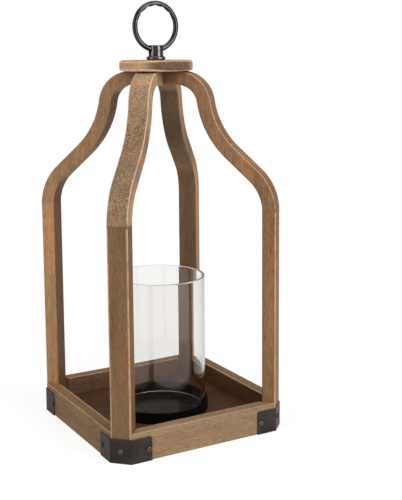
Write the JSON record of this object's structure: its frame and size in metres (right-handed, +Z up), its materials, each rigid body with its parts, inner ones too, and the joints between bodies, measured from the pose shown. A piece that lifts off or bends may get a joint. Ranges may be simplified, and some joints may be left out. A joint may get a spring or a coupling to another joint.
{
  "type": "hanging lantern",
  "caption": "Open wooden candle lantern: square tray, four curved ribs under a round cap with a hanging ring, and a glass cylinder standing in a metal pan.",
  "frame": {"origin": "centre of the base, on the surface that the lantern stands on", "axes": "+Z up to the ring, -Y the front, +X to the right seen from the front; the ring stands in the XZ plane"},
  "size_m": [0.1804, 0.1804, 0.3988],
  "materials": {
    "stained_wood": "stained satin, worn edges",
    "rail_wood": "stained satin, worn edges",
    "floor_wood": "stained satin",
    "bronze_sheet": "dark bronze satin",
    "black_screw": "dark, semi-gloss",
    "black_nickel": "black nickel plated, glossy",
    "zinc_steel": "zinc plated",
    "pan_enamel": "black, matt outside, glossy inside",
    "clear_glass": "clear, polished"
  },
  "bodies": {
    "frame": {"leg_front_left": "stained_wood", "bow_front_left": "stained_wood", "bracket_front_left": "bronze_sheet", "leg_front_right": "stained_wood", "bow_front_right": "stained_wood", "bracket_front_right": "bronze_sheet", "leg_back_left": "stained_wood", "bow_back_left": "stained_wood", "bracket_back_left": "bronze_sheet", "leg_back_right": "stained_wood", "bow_back_right": "stained_wood", "bracket_back_right": "bronze_sheet", "front_rail": "rail_wood", "back_rail": "rail_wood", "left_rail": "rail_wood", "right_rail": "rail_wood", "floor_panel": "floor_wood", "bow_dowels": "rail_wood", "bracket_screws": "black_screw", "cap_screws": "zinc_steel", "cap_disc": "stained_wood", "collar_flange": "black_nickel", "ring_bolt": "black_nickel", "crossing_washer": "zinc_steel", "crossing_nut": "zinc_steel"},
    "ring": {"hanging_ring": "black_nickel"},
    "pan": {"candle_pan": "pan_enamel"},
    "glass": {"glass_cylinder": "clear_glass"}
  },
  "joints": [
    {"name": "ring_tilt", "type": "hinge", "parent": "frame", "child": "ring", "pos_m": [0, 0, 0.354], "axis": [1, 0, 0], "range_deg": [-100, 100]},
    {"name": "pan_lift", "type": "slide", "parent": "frame", "child": "pan", "axis": [0, 0, 1], "range_m": [0, 0.03]},
    {"name": "glass_lift", "type": "slide", "parent": "pan", "child": "glass", "axis": [0, 0, 1], "range_m": [0, 0.03]}
  ]
}
